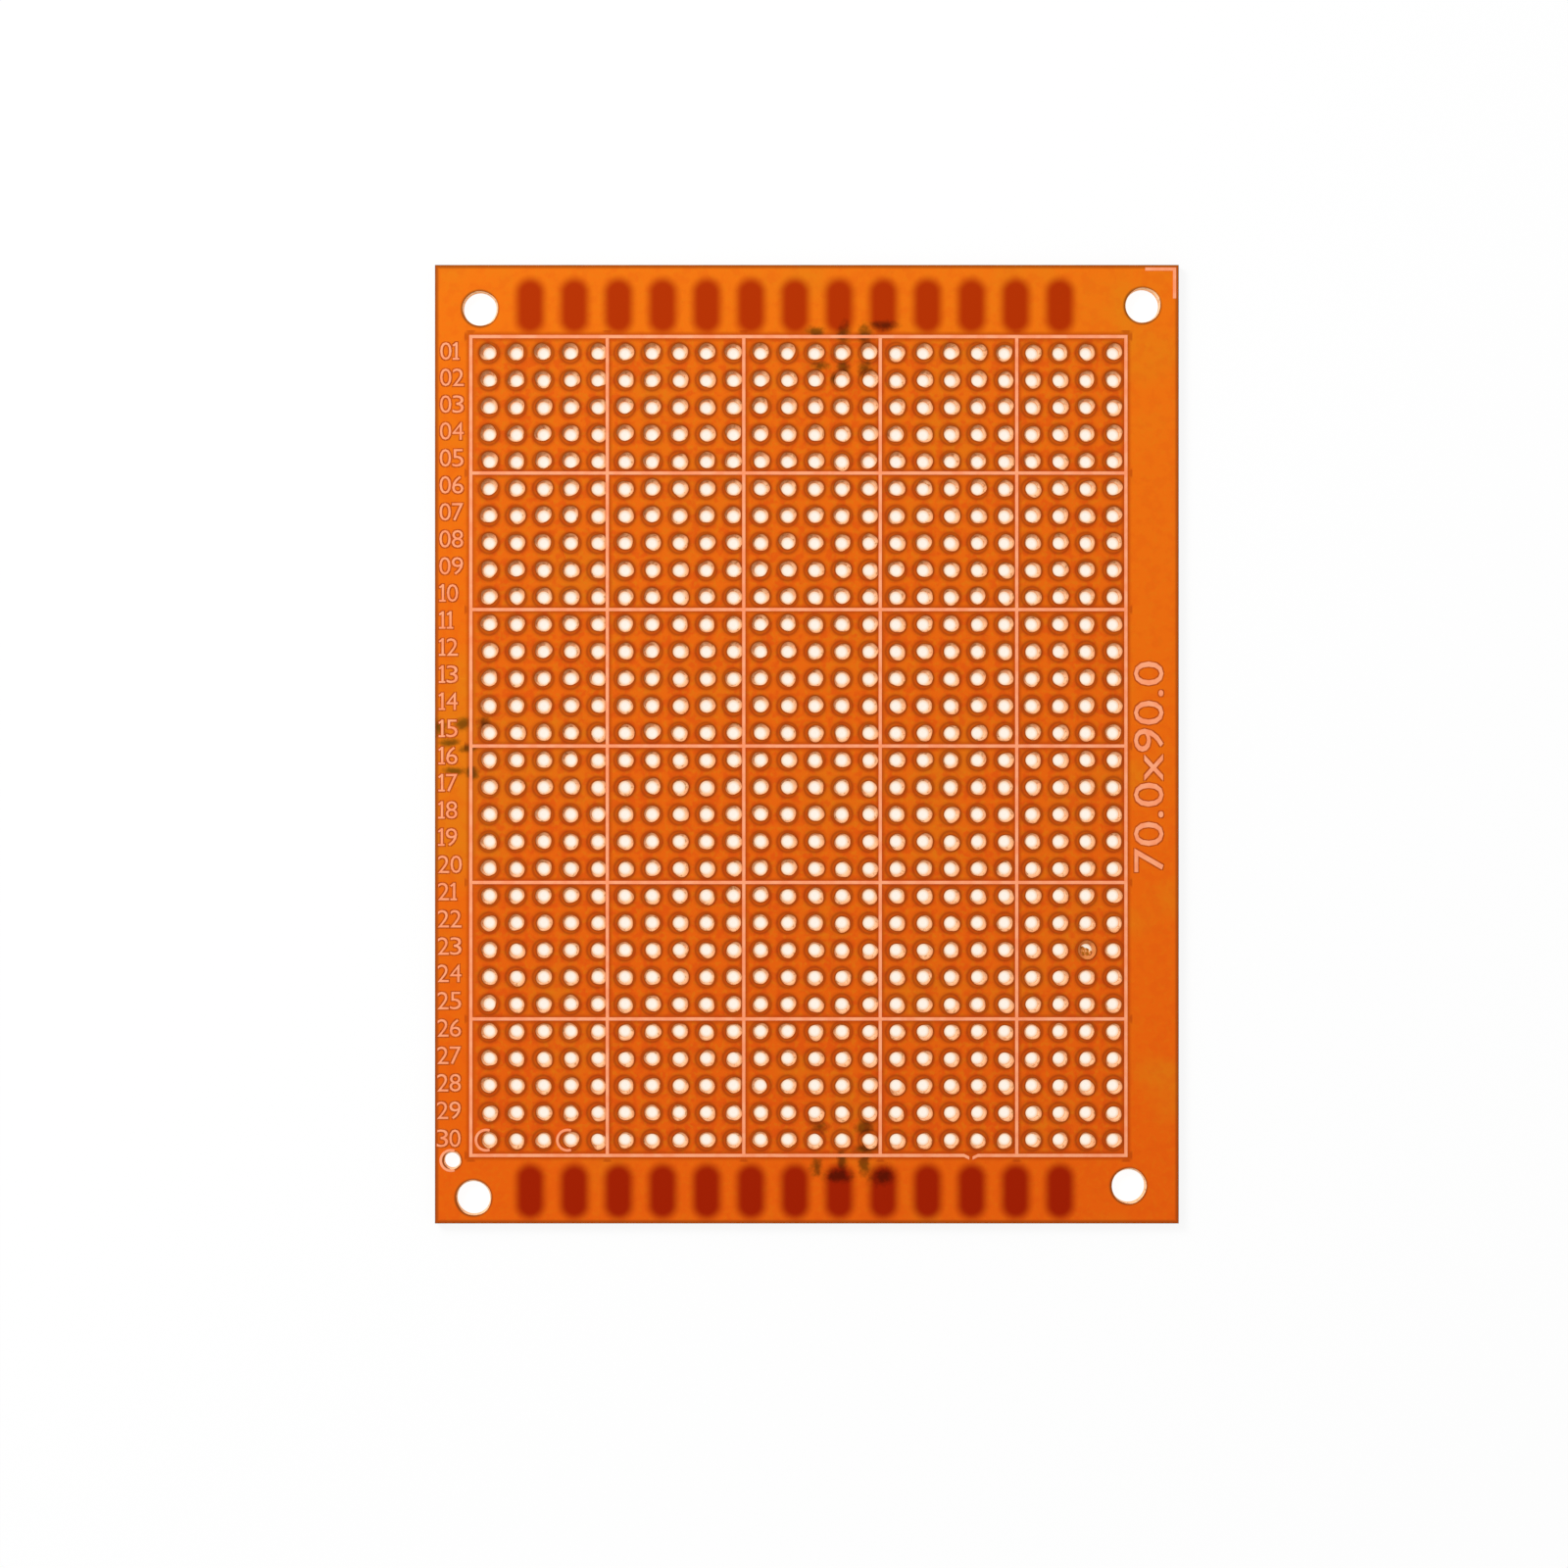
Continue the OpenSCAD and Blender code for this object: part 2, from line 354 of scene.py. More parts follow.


# Painted shade, redder, in the sheet close to the printed lines
def printLineShade(tree, place):
    half = layout["cellHoles"] * layout["printStep"] / 2
    fromCorner = addNode(tree, "VectorMath", {0: place, 1: (printX, printY, 0)}, operation="SUBTRACT")
    inCell = addNode(
        tree, "VectorMath", {0: fromCorner, 1: (half, half, 1), 2: (-half, -half, -1)}, operation="WRAP")
    away = addNode(tree, "VectorMath", {0: inCell}, operation="ABSOLUTE")
    split = addNode(tree, "SeparateXYZ", {0: away}, out=None)
    across = addNode(tree, "SeparateXYZ", {0: fromCorner}, out=None)
    fromLast = addNode(tree, "Math", {0: across[0], 1: 2 * printHalf[0]}, operation="SUBTRACT")
    toLast = addNode(tree, "Math", {0: fromLast}, operation="ABSOLUTE")
    toUpright = addNode(tree, "Math", {0: split[0], 1: toLast}, operation="MINIMUM")
    toLine = addNode(tree, "Math", {0: toUpright, 1: split[1]}, operation="MINIMUM")
    share = addNode(tree, "MapRange", fading(toLine, *fades["inkLineShade"]), **smooth)
    reach = fades["inkLineShade"][1]
    inFrame = insideBox(tree, place, printMiddle, (printHalf[0] + reach, printHalf[1] + reach))
    return addNode(tree, "Math", {0: share, 1: inFrame}, operation="MULTIPLY")


# The darker line along the sheared outline
def besideOutline(tree, place):
    fromMiddle = addNode(tree, "VectorMath", {0: place, 1: boardMiddle}, operation="SUBTRACT")
    away = addNode(tree, "VectorMath", {0: fromMiddle}, operation="ABSOLUTE")
    toEdge = addNode(tree, "VectorMath", {0: boardHalf, 1: away}, operation="SUBTRACT")
    split = addNode(tree, "SeparateXYZ", {0: toEdge}, out=None)
    nearest = addNode(tree, "Math", {0: split[0], 1: split[1]}, operation="MINIMUM")
    return addNode(tree, "MapRange", fading(nearest, *fades["sheared"]), **smooth)


# The stains' share at a point: the nearest blot counts, and noise makes its rim ragged
def stainCover(tree, place):
    look = faceLook
    nearest = look["farOff"]
    for x, y, reachX, reachY in blots:
        scale = (1 / (reachX * mm), 1 / (reachY * mm), 0)
        shift = (-x / reachX, -y / reachY, 0)
        scaled = addNode(tree, "VectorMath", {0: place, 1: scale, 2: shift}, operation="MULTIPLY_ADD")
        away = addNode(tree, "VectorMath", {0: scaled}, out="Value", operation="LENGTH")
        nearest = addNode(tree, "Math", {0: away, 1: nearest}, operation="MINIMUM")
    ragged = addNode(
        tree, "TexNoise", {"Vector": place, "Scale": 1 / look["raggedSize"], "Detail": 3.0, "Roughness": 0.6})
    uneven = addNode(
        tree, "Math", {0: ragged, 1: look["raggedness"], 2: nearest}, operation="MULTIPLY_ADD")
    return addNode(tree, "MapRange", fading(uneven, *fades["stain"]), **smooth)


# The upper face: patches of other tones first, then the painted shades and dark lines that darken it, then
# the stains
def laminateFace():
    look = faceLook
    material, tree, surface, place = newMaterial("phenolicLaminatePressed", roughness=0.42, specular=0.03)
    slant = addNode(
        tree, "VectorMath", {0: place, 1: look["gradient"]}, out="Value", operation="DOT_PRODUCT")
    upward = addNode(tree, "MapRange", {"Value": slant, "From Min": -0.5, "From Max": 0.5})
    colour = addNode(tree, "Mix", {"Factor": upward, 6: look["lower"], 7: look["upper"]}, **mixing)
    drift, patch, speck = [
        addNode(tree, "TexNoise", {"Vector": place, "Scale": 1 / look[size], "Detail": detail})
        for size, detail in (("driftSize", 2.0), ("patchSize", 2.0), ("speckSize", 1.0))]
    fromOchre = addNode(
        tree, "VectorMath", {0: place, 1: look["ochreMiddle"]}, out="Value", operation="DISTANCE")
    extra = addNode(tree, "MapRange", fading(fromOchre, *fades["ochre"]), **smooth)
    ochreLevel = addNode(tree, "Math", {0: drift, 1: extra}, operation="ADD")
    inGrid = insideBox(tree, place, gridMiddle, gridHalf)
    mostRed, mostOchre = [
        addNode(tree, "MapRange", {"Value": inGrid, "To Min": margin, "To Max": punched})
        for margin, punched in (look["redShares"], look["ochreShares"])]
    layers = [
        (ochreLevel, 0.5, 0.75, 0.35, look["ochre"]),
        (patch, 0.46, 0.64, mostRed, look["red"]),
        (speck, 0.5, 0.68, mostOchre, look["ochre"]),
    ]
    for pattern, start, full, most, tone in layers:
        rise = {"Value": pattern, "From Min": start, "From Max": full, "To Max": most}
        share = addNode(tree, "MapRange", rise, **smooth)
        colour = addNode(tree, "Mix", {"Factor": share, 6: colour, 7: tone}, **mixing)
    # Painted shade over the punched grid, for the copper behind it
    punched = addNode(tree, "Math", {0: inGrid, 1: look["punchedShadeShare"]}, operation="MULTIPLY")
    barShadowTone = addNode(tree, "Mix", {"Factor": upward, 6: look["barShadowLower"], 7: look["barShadowUpper"]}, **mixing)
    # The mouths' edges get a painted shade line
    burnt = addNode(tree, "Attribute", out="Fac", attribute_name="mouthEdge")
    mouthRimShade = addNode(tree, "Math", {0: burnt, 1: look["rimShadeShare"]}, operation="MULTIPLY")
    padRingShadow, padEdgeShadow = padShadows(tree, place, inGrid)
    paintedShadesAndLines = [
        (punched, look["punched"]),
        (padRingShadow, look["padRingShadow"]),
        (padEdgeShadow, look["padEdgeShadow"]),
        (printLineShade(tree, place), look["inkLineShade"]),
        (contactPadShadows(tree, place), barShadowTone),
        (besideOutline(tree, place), look["sheared"]),
        (mouthRimShade, look["mouthRimShade"]),
        (holeLines(tree, place), look["holeLine"]),
    ]
    for share, tone in paintedShadesAndLines:
        colour = addNode(tree, "Mix", {"Factor": share, 6: colour, 7: tone}, **mixing)
    stained = stainCover(tree, place)
    colour = addNode(
        tree, "Mix", {"Factor": stained, 6: colour, 7: look["stain"]}, blend_type="MULTIPLY", **mixing)
    fibre = addNode(tree, "TexNoise", {"Vector": place, "Scale": 1 / look["fibreSize"], "Detail": 2.0})
    finishMaterial(tree, surface, colour, fibre, depth=0.02 * mm, strength=0.12)
    return material


# The same laminate where the copper was etched off: matt, browner, with a faint paper weave
etchedLook = {
    "red": "#CE661C",
    "brown": "#C2701E",
    "weave": "#C9924F",
    "driftSize": 9.0 * mm,
    "weaveSize": 0.25 * mm,
}


def laminateBack():
    look = etchedLook
    material, tree, surface, place = newMaterial("phenolicLaminateEtched", roughness=0.5, specular=0.25)
    drift = addNode(tree, "TexNoise", {"Vector": place, "Scale": 1 / look["driftSize"], "Detail": 4.0})
    weave = addNode(tree, "TexNoise", {"Vector": place, "Scale": 1 / look["weaveSize"], "Detail": 3.0})
    brown = addNode(tree, "MapRange", {"Value": drift, "From Min": 0.35, "From Max": 0.7}, **smooth)
    pale = addNode(tree, "MapRange", {"Value": weave, "From Min": 0.4, "From Max": 0.75, "To Max": 0.3})
    colour = addNode(tree, "Mix", {"Factor": brown, 6: look["red"], 7: look["brown"]}, **mixing)
    colour = addNode(tree, "Mix", {"Factor": pale, 6: colour, 7: look["weave"]}, **mixing)
    finishMaterial(tree, surface, colour, weave, depth=0.03 * mm, strength=0.25)
    return material


# Torn laminate in the mouths: cream paper fibres by the hole, peach further out, and a painted
# shade on each mouth's side away from the light. The thin sheet lets light through, which a
# faint painted glow stands in for.
brokenLook = {
    "cream": "#F8D0A6",
    "peach": "#E08E56",
    "speck": "#A06C34",
    # Painted shade on the mouths' side away from the light
    "under": "#A25A26",
    "byChip": "#D8803C",
    "chipFade": (1.1 * mm, 1.4 * mm, 0.85),
    "chunkSize": 0.35 * mm,
    "glow": 0.1,
}


def laminateBreak():
    look = brokenLook
    material, tree, surface, place = newMaterial("phenolicLaminateBroken", roughness=0.75, specular=0.06)
    outward = addNode(tree, "Attribute", out="Fac", attribute_name="mouthEdge")
    under = addNode(tree, "Attribute", out="Fac", attribute_name="awayFromLight")
    colour = addNode(tree, "Mix", {"Factor": outward, 6: look["cream"], 7: look["peach"]}, **mixing)
    chunk = addNode(tree, "TexNoise", {"Vector": place, "Scale": 1 / look["chunkSize"], "Detail": 2.0})
    speck = addNode(
        tree, "MapRange", {"Value": chunk, "From Min": 0.56, "From Max": 0.68, "To Max": 0.6}, **smooth)
    uneven = addNode(tree, "Math", {0: chunk, 1: 0.5}, operation="ADD")
    shaded = addNode(tree, "Math", {0: under, 1: uneven}, operation="MULTIPLY")
    underFace = addNode(
        tree, "MapRange", {"Value": shaded, "From Min": 0.4, "From Max": 0.9, "To Max": 0.6}, **smooth)
    fromChip = addNode(tree, "VectorMath", {0: place, 1: chipMiddle}, out="Value", operation="DISTANCE")
    byChip = addNode(tree, "MapRange", fading(fromChip, *look["chipFade"]))
    for share, tone in ((speck, "speck"), (underFace, "under"), (byChip, "byChip")):
        colour = addNode(tree, "Mix", {"Factor": share, 6: colour, 7: look[tone]}, **mixing)
    finishMaterial(tree, surface, colour, chunk, depth=0.06 * mm, strength=0.5)
    # A faint painted glow, standing in for light through the sheet
    tree.links.new(colour, surface.inputs["Emission Color"])
    surface.inputs["Emission Strength"].default_value = look["glow"]
    return material


# Sheared edge and punched walls: dark resin on the outside, and in the holes a paler colour with a
# painted glow, standing in for light that soaks through the sheet; the paper's layers show as fine
# level lines
shearedLook = {
    "outerDark": "#6E3A12",
    "outerPale": "#A8642A",
    "innerDark": "#D89458",
    "innerPale": "#F4C490",
    "grainSize": (2 * mm, 2 * mm, 0.12 * mm),
    "glow": 0.3,
}


def laminateCut():
    look = shearedLook
    material, tree, surface, place = newMaterial("phenolicLaminateSheared", roughness=0.7, specular=0.06)
    layers = addNode(tree, "Mapping", {"Vector": place, "Scale": [1 / size for size in look["grainSize"]]})
    grain = addNode(tree, "TexNoise", {"Vector": layers, "Scale": 1.0, "Detail": 3.0})
    share = addNode(tree, "MapRange", {"Value": grain, "From Min": 0.35, "From Max": 0.7})
    inside = insideBox(tree, place, boardMiddle, innerHalf)
    outer = addNode(tree, "Mix", {"Factor": share, 6: look["outerDark"], 7: look["outerPale"]}, **mixing)
    inner = addNode(tree, "Mix", {"Factor": share, 6: look["innerDark"], 7: look["innerPale"]}, **mixing)
    colour = addNode(tree, "Mix", {"Factor": inside, 6: outer, 7: inner}, **mixing)
    finishMaterial(tree, surface, colour, grain, depth=0.04 * mm, strength=0.4)
    # Painted glow on the walls in the holes only
    glow = addNode(tree, "Math", {0: inside, 1: look["glow"]}, operation="MULTIPLY")
    tree.links.new(colour, surface.inputs["Emission Color"])
    tree.links.new(glow, surface.inputs["Emission Strength"])
    return material


# White screen ink printed thin: the board's orange shows through as peach, patchy along a line
inkLook = {
    "thin": "#FD986A",
    "full": "#FFA87C",
    "patchSize": 1.3 * mm,
    "detail": 3.0,
    "patchLevels": (0.35, 0.65),
    "roughness": 0.6,
    "depth": 0.02 * mm,
    "strength": 0.2,
}

# The ink's painted shadow in the sheet: a thin darker line round every figure
inkShadowLook = {
    "thin": "#B44A0C",
    "full": "#C85A12",
    "patchSize": 0.5 * mm,
    "detail": 2.0,
    "patchLevels": (0.4, 0.65),
    "roughness": 0.5,
    "depth": 0.01 * mm,
    "strength": 0.1,
}


def printedCoat(name, look):
    material, tree, surface, place = newMaterial(name, look["roughness"], specular=0.06)
    cover = addNode(
        tree, "TexNoise", {"Vector": place, "Scale": 1 / look["patchSize"], "Detail": look["detail"]})
    start, full = look["patchLevels"]
    share = addNode(tree, "MapRange", {"Value": cover, "From Min": start, "From Max": full}, **smooth)
    colour = addNode(tree, "Mix", {"Factor": share, 6: look["thin"], 7: look["full"]}, **mixing)
    finishMaterial(tree, surface, colour, cover, look["depth"], look["strength"])
    return material


# Copper foil, etched and varnished with rosin: warm metal, faint tarnish, a wet-looking coat
copperLook = {
    "bright": "#DE885A",
    "tarnished": "#BC6C44",
    "tarnishSize": 1.8 * mm,
    "rolledSize": (0.08 * mm, 1.5 * mm, 1),
    "roughness": (0.28, 0.46),
    "coat": 0.35,
    "coatRoughness": 0.12,
}


def copperFoil():
    look = copperLook
    least, most = look["roughness"]
    material, tree, surface, place = newMaterial("copperFoilEtched", roughness=least, specular=0.5)
    tarnish = addNode(tree, "TexNoise", {"Vector": place, "Scale": 1 / look["tarnishSize"], "Detail": 5.0})
    share = addNode(tree, "MapRange", {"Value": tarnish, "From Min": 0.4, "From Max": 0.7}, **smooth)
    colour = addNode(tree, "Mix", {"Factor": share, 6: look["bright"], 7: look["tarnished"]}, **mixing)
    rolled = addNode(tree, "Mapping", {"Vector": place, "Scale": [1 / size for size in look["rolledSize"]]})
    lines = addNode(tree, "TexNoise", {"Vector": rolled, "Scale": 1.0, "Detail": 2.0})
    streaks = {"Value": lines, "From Min": 0.3, "From Max": 0.7, "To Min": least, "To Max": most}
    rough = addNode(tree, "MapRange", streaks)
    finishMaterial(tree, surface, colour, lines, depth=0.01 * mm, strength=0.15)
    tree.links.new(rough, surface.inputs["Roughness"])
    surface.inputs["Metallic"].default_value = 1.0
    surface.inputs["Coat Weight"].default_value = look["coat"]
    surface.inputs["Coat Roughness"].default_value = look["coatRoughness"]
    return material


# The laminate sheet. From lower right to upper left the punch tore more, and more upwards:
# mouthSpread gives both ends of that, and shiftDrift what the shift gains on the way.
sheet = {
    "seed": 7,
    "sides": 24,
    "bevel": 0.05 * mm,
    "mergeWithin": 0.002 * mm,
    "shadeAngle": math.radians(30),
    "mouthRadius": 0.76 * mm,
    "mouthSpread": (0.73 * mm, 0.78 * mm),
    "heldMouth": 0.9 * mm,
    "rimWidth": 0.15 * mm,
    "mouthDepth": 0.35 * mm,
    "mouthShift": (0.11 * mm, -0.05 * mm),
    "shiftDrift": (-0.03 * mm, 0.17 * mm),
    "shiftSpread": 0.05 * mm,
    "columnSpread": 0.03 * mm,
    "slantByRow": 0.75,
    "slantByColumn": 0.25,
    "wobble": {2: 0.06, 3: 0.05, 5: 0.025},
    "leastWobble": 0.3,
    "leastLip": 0.03 * mm,
    "mostReach": 0.93 * mm,
    "lineClearance": 0.02 * mm,
    "throatStart": 0.1 * mm,
    "throatLobes": 4,
    "throatWave": 0.5,
    "throatLimits": (0.08 * mm, 0.7 * mm),
    "underBearing": 0.8,
    "leastShade": 0.4,
    "screwSides": 64,
    "screwFlare": 0.12 * mm,
    "flareDepth": 0.3 * mm,
    "flareEven": 0.35,
    "flareWaves": {2: 0.2, 5: 0.15},
    "leastFlare": 0.1,
    "flareLean": 0.45,
    "leanBearing": 0.35,
    "punchPast": 1 * mm,
}


# Moves a ring's points to another distance from its centre, each along its own spoke
def spread(points, centre, radius):
    out = points.copy()
    away = out[:, :2] - centre
    out[:, :2] = centre + away / np.linalg.norm(away, axis=1)[:, None] * radius
    return out


# The same, out to a square round the centre
def toSquare(points, centre, half):
    out = points.copy()
    away = out[:, :2] - centre
    out[:, :2] = centre + away / np.abs(away).max(axis=1)[:, None] * half
    return out


def atHeight(points, height):
    return np.column_stack((points[:, :2], np.full(len(points), height)))


# One hole of the grid with its mouth and its share of both faces: the lower left one
def makeCell():
    centre = np.array((firstX, lastY))
    deselectAll()
    bpy.ops.mesh.primitive_circle_add(
        vertices=sheet["sides"], radius=layout["holeRadius"], fill_type="NOTHING",
        location=(*centre, boardLow.z))
    cell = bpy.context.object
    cell.name = "phenolicSheet"
    applyPlace(cell)
    selectPoints(cell, np.ones(sheet["sides"], dtype=bool))
    mouthRadius = sheet["mouthRadius"]
    extrudeSelected(cell, lambda ring: atHeight(ring, topZ - sheet["mouthDepth"]))
    extrudeSelected(cell, lambda ring: atHeight(spread(ring, centre, mouthRadius), topZ))
    extrudeSelected(cell, lambda ring: spread(ring, centre, mouthRadius + sheet["rimWidth"]))
    extrudeSelected(cell, lambda ring: toSquare(ring, centre, pitch / 2))
    selectPoints(cell, readPoints(cell)[:, 2] < boardLow.z + touch)
    extrudeSelected(cell, lambda ring: toSquare(ring, centre, pitch / 2))
    return cell


# Which points lie on the border of the hole grid at a height
def onBorder(points, height):
    away = np.abs(points[:, :2] - gridMiddle)
    onSide = (away > np.array(gridHalf) - touch).any(axis=1)
    return onSide & (np.abs(points[:, 2] - height) < touch)


# Moves the border straight out to the sheet's outline, less an inset
def toOutline(points, inset, height):
    away = points[:, :2] - gridMiddle
    out = atHeight(points, height)
    for axis in (0, 1):
        atHigh = away[:, axis] > gridHalf[axis] - touch
        atLow = away[:, axis] < touch - gridHalf[axis]
        out[atHigh, axis] = boardHigh[axis] - inset
        out[atLow, axis] = boardLow[axis] + inset
    return out


# Moves the points of the inset outline on to the outline itself
def pastBevel(points, height):
    out = atHeight(points, height)
    reach = 2 * sheet["bevel"]
    for axis in (0, 1):
        out[points[:, axis] > boardHigh[axis] - reach, axis] = boardHigh[axis]
        out[points[:, axis] < boardLow[axis] + reach, axis] = boardLow[axis]
    return out


def addMargins(board):
    bevel = sheet["bevel"]
    selectPoints(board, onBorder(readPoints(board), topZ))
    extrudeSelected(board, lambda loop: toOutline(loop, bevel, topZ))
    extrudeSelected(board, lambda loop: pastBevel(loop, topZ - bevel))
    extrudeSelected(board, lambda loop: atHeight(loop, boardLow.z))
    away = np.abs(readPoints(board) - boardMiddle)[:, :2]
    atOutline = (away > np.array(boardHalf)[:2] - touch).any(axis=1)
    selectPoints(board, onBorder(readPoints(board), boardLow.z) & ~atOutline)
    extrudeSelected(board, lambda loop: toOutline(loop, 0, boardLow.z))
    closeMesh(board)


# Opens a hole's ring by a share of its flare, which is given by bearing
def openRing(ring, hole, flare, share, height):
    x, y, radius = hole
    bearing = np.arctan2(ring[:, 1] - y, ring[:, 0] - x)
    reach = radius + share * np.interp(bearing, *flare, period=2 * math.pi)
    return atHeight(spread(ring, np.array((x, y)), reach[:, None]), height)


# Screw holes and the locating hole: straight walls that flare unevenly at the upper face
def punchRoundHoles(board):
    draws = np.random.default_rng(sheet["seed"])
    bearings = np.linspace(0, 2 * math.pi, sheet["screwSides"], endpoint=False)
    past = sheet["punchPast"]
    lean = sheet["flareLean"] * (1 + np.cos(bearings - sheet["leanBearing"]))
    for hole in roundHoles:
        deselectAll()
        bpy.ops.mesh.primitive_circle_add(
            vertices=len(bearings), radius=hole[2], fill_type="NGON",
            location=(*hole[:2], boardLow.z - past))
        punch = bpy.context.object
        applyPlace(punch)
        turns = draws.uniform(0, 2 * math.pi, len(sheet["flareWaves"]))
        uneven = np.full(len(bearings), sheet["flareEven"])
        for (count, share), turn in zip(sheet["flareWaves"].items(), turns):
            uneven += share * np.sin(count * bearings + turn)
        flare = (bearings, sheet["screwFlare"] * (uneven.clip(sheet["leastFlare"]) + lean))
        for share, height in ((0, topZ - sheet["flareDepth"]), (1, topZ), (1, topZ + past)):
            extrudeSelected(punch, lambda ring: openRing(ring, hole, flare, share, height))
        closeMesh(punch)
        applyModifier(board, "BOOLEAN", object=punch, operation="DIFFERENCE", solver="MANIFOLD")
        bpy.data.objects.remove(punch)


# How badly each hole is torn, by row and column: 0 at the lower right, 1 at the upper left
def tearSlants():
    downward, rightward = np.linspace(1, 0, rows), np.linspace(1, 0, columns)
    return sheet["slantByRow"] * downward[:, None] + sheet["slantByColumn"] * rightward


# Tears each mouth its own way, marks its edge for the painted shade line round it, and marks where painted
# shade falls in it
def breakMouths(board):
    draws = np.random.default_rng(sheet["seed"] + 1)
    slants = tearSlants()
    shift = draws.normal(0, sheet["shiftSpread"], (rows, columns, 2))
    shift += draws.normal(0, sheet["columnSpread"], (1, columns, 2)) + sheet["mouthShift"]
    shift += slants[:, :, None] * sheet["shiftDrift"]
    lobes = []
    for count, share in sheet["wobble"].items():
        size = share * draws.uniform(sheet["leastWobble"], 1, (rows, columns))
        lobes.append((count, size, draws.uniform(0, 2 * math.pi, (rows, columns))))

    # Each point's own hole, and its place in that hole's mouth
    points = readPoints(board)
    column = np.rint((points[:, 0] - firstX) / pitch).astype(int).clip(0, columns - 1)
    row = np.rint((firstY - points[:, 1]) / pitch).astype(int).clip(0, rows - 1)
    centre = np.column_stack((firstX + column * pitch, firstY - row * pitch))
    away = points[:, :2] - centre
    reach = np.linalg.norm(away, axis=1)
    bearing = np.arctan2(away[:, 1], away[:, 0])
    near = 2 * touch
    atTop = np.abs(points[:, 2] - topZ) < near
    atThroat = np.abs(points[:, 2] - topZ + sheet["mouthDepth"]) < near
    mouth = atTop & (np.abs(reach - sheet["mouthRadius"]) < near)
    rim = atTop & (np.abs(reach - sheet["mouthRadius"] - sheet["rimWidth"]) < near)
    throat = atThroat & (np.abs(reach - layout["holeRadius"]) < near)

    # The torn edge keeps clear of the hole's wall and of the printed line to its right
    slant = slants[row, column]
    torn = np.interp(slant, (0, 1), sheet["mouthSpread"])
    for count, size, turn in lobes:
        torn *= 1 + size[row, column] * np.sin(count * bearing + turn[row, column])
    held = (np.abs(centre - chipMiddle[:2]) < pitch / 2).all(axis=1)
    torn[held] = sheet["heldMouth"]
    edge = np.column_stack((np.cos(bearing), np.sin(bearing))) * torn[:, None] + shift[row, column]
    nextLine = np.minimum((column // layout["cellHoles"] + 1) * layout["cellHoles"], columns)
    toLine = printX + nextLine * layout["printStep"] - centre[:, 0]
    edge[:, 0] = np.minimum(edge[:, 0], toLine - layout["lineWidth"] / 2 - sheet["lineClearance"])
    edgeReach = np.linalg.norm(edge, axis=1)
    kept = edgeReach.clip(layout["holeRadius"] + sheet["leastLip"], sheet["mostReach"])
    edge *= (kept / edgeReach)[:, None]
    points[mouth, :2] = (centre + edge)[mouth]
    points[rim, :2] = (centre + edge * (1 + sheet["rimWidth"] / kept)[:, None])[rim]
    wave = np.sin(sheet["throatLobes"] * bearing + lobes[0][2][row, column])
    depth = sheet["throatStart"] + (kept - layout["holeRadius"]) * (1 + sheet["throatWave"] * wave)
    points[throat, 2] = (topZ - depth.clip(*sheet["throatLimits"]))[throat]
    writePoints(board, points)

    # Painted shade on each mouth's side away from the light, stronger towards the upper left of the grid
    leftward = 0.5 - 0.5 * np.cos(bearing + sheet["underBearing"])
    under = (mouth | throat) * leftward * (sheet["leastShade"] + (1 - sheet["leastShade"]) * slant)
    for name, values in (("mouthEdge", mouth), ("awayFromLight", under)):
        attribute = board.data.attributes.new(name, "FLOAT", "POINT")
        attribute.data.foreach_set("value", values.astype(np.float32))


# Gives each face its finish by where it lies and which way it looks
def paintSheet(board):
    board.data.materials.clear()
    for material in (laminateFace(), laminateBack(), laminateBreak(), laminateCut()):
        board.data.materials.append(material)
    face, back, broken, cut = range(4)
    upward = readVectors(board.data.polygons, "normal")[:, 2]
    centres = readVectors(board.data.polygons, "center")
    inside = (np.abs(centres - boardMiddle) < np.array(boardHalf) - sheet["bevel"])[:, :2].all(axis=1)
    sloped, level = 0.05, 0.99
    finish = np.full(len(centres), cut)
    finish[(upward > sloped) & inside] = broken
    finish[(upward > level) & (centres[:, 2] > topZ - touch)] = face
    finish[upward < -level] = back
    board.data.polygons.foreach_set("material_index", finish.astype(np.int32))
    makeActive(board)
    bpy.ops.object.shade_smooth_by_angle(angle=sheet["shadeAngle"])


def makeSheet():
    board = makeCell()
    for count, step in ((columns, (pitch, 0, 0)), (rows, (0, pitch, 0))):
        applyModifier(
            board, "ARRAY", count=count, use_relative_offset=False, use_constant_offset=True,
            constant_offset_displace=step, use_merge_vertices=True, merge_threshold=sheet["mergeWithin"])
    addMargins(board)
    punchRoundHoles(board)
    breakMouths(board)
    paintSheet(board)
    return board


phenolicSheet = makeSheet()
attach(phenolicSheet, "root")
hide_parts("board")
print("sheet made,", len(phenolicSheet.data.polygons), "faces")

# Row numbers and the size mark: ink with a thin darker margin of painted shadow round each figure
lettering = {
    "inkThickness": 0.03 * mm,
    "marginLayer": 0.003 * mm,
    "marginWidth": 0.1 * mm,
    "curveSteps": 3,
    "numberHeight": 1.63 * mm,
    "zeroWidth": 1.05 * mm,
    "oneWidth": 0.6 * mm,
    "stroke": 0.21 * mm,
    "thinStroke": 0.8,
    "stemAt": 0.58,
    "flagAt": (0.3, 0.87),
    "flagLength": 0.6,
    "flagTurn": 0.6,
    "figureGap": 0.12 * mm,
    "numberInset": 0.5 * mm,
    "numberDrift": -0.32 * mm,
    "numberRise": 0.18 * mm,
    "numberBow": 0.25 * mm,
    "boldness": -0.006,
    "markWords": "70.0x90.0",
    "markHeight": 2.75 * mm,
    "markLength": 19.7 * mm,
    "markInset": 2.81 * mm,
    "markY": -2.12 * mm,
    "markBoldness": -0.002,
}


